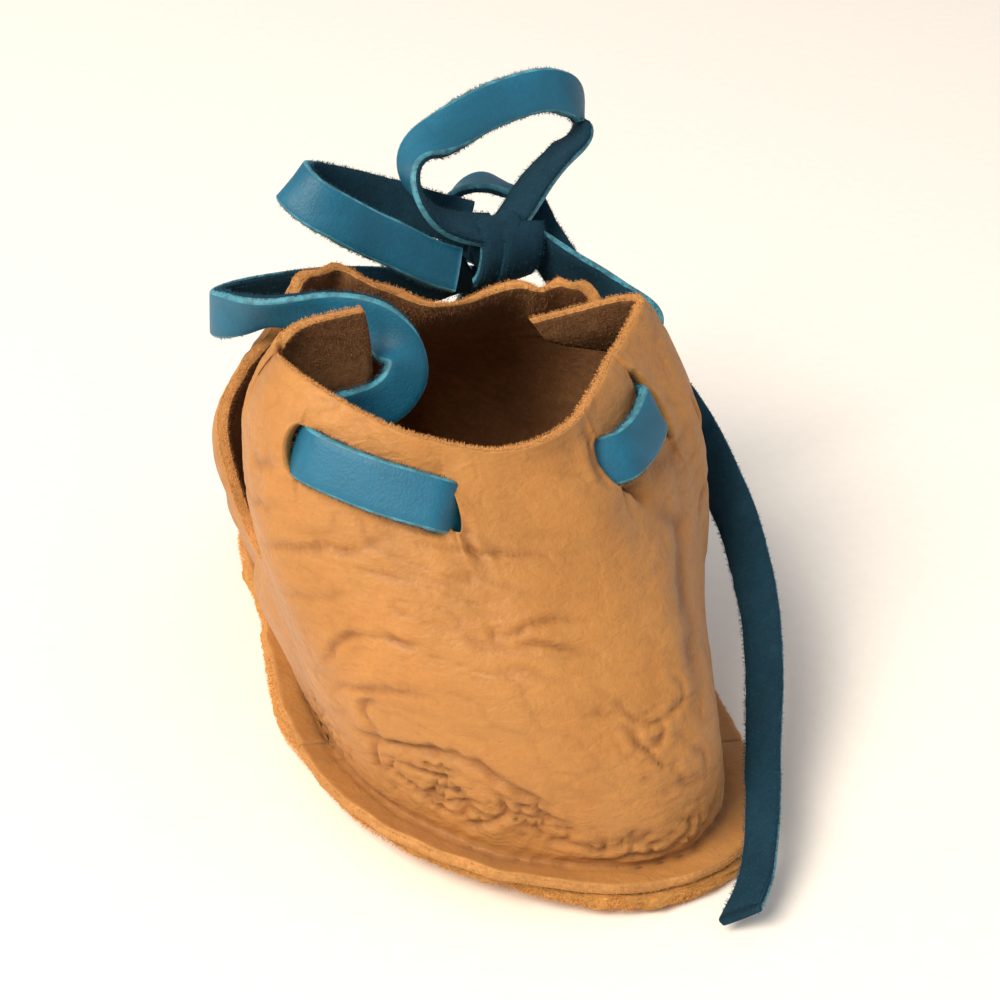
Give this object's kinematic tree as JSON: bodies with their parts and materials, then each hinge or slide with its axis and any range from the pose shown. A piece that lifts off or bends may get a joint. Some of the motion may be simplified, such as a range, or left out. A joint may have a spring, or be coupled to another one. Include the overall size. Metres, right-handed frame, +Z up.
{
  "type": "baby moccasin",
  "caption": "Soft leather baby shoe for the right foot: hollow two-piece upper stitched down on a flat sole, tied with a flat thong lace.",
  "frame": {"origin": "on the floor under the middle of the shoe's length and width, lace ends left out", "axes": "+Y toward the toe along the sole, +X to the wearer's right, +Z up"},
  "size_m": [0.0768, 0.1275, 0.0776],
  "materials": {
    "deerskin": "soft golden tan grain leather, matt with fine wrinkles, brown suede inside",
    "sole_leather": "thick sueded tan leather with a rough cut edge",
    "lace_leather": "teal dyed thong, smooth on the grain side, dark suede on the flesh side"
  },
  "bodies": {
    "root": {"sole": "sole_leather", "upper": "deerskin", "lace_collar": "lace_leather", "lace_knot": "lace_leather", "lace_run_left": "lace_leather", "lace_run_right": "lace_leather", "bow_loop_big": "lace_leather", "bow_loop_left": "lace_leather", "lace_end_right": "lace_leather", "lace_end_left": "lace_leather"}
  },
  "joints": []
}
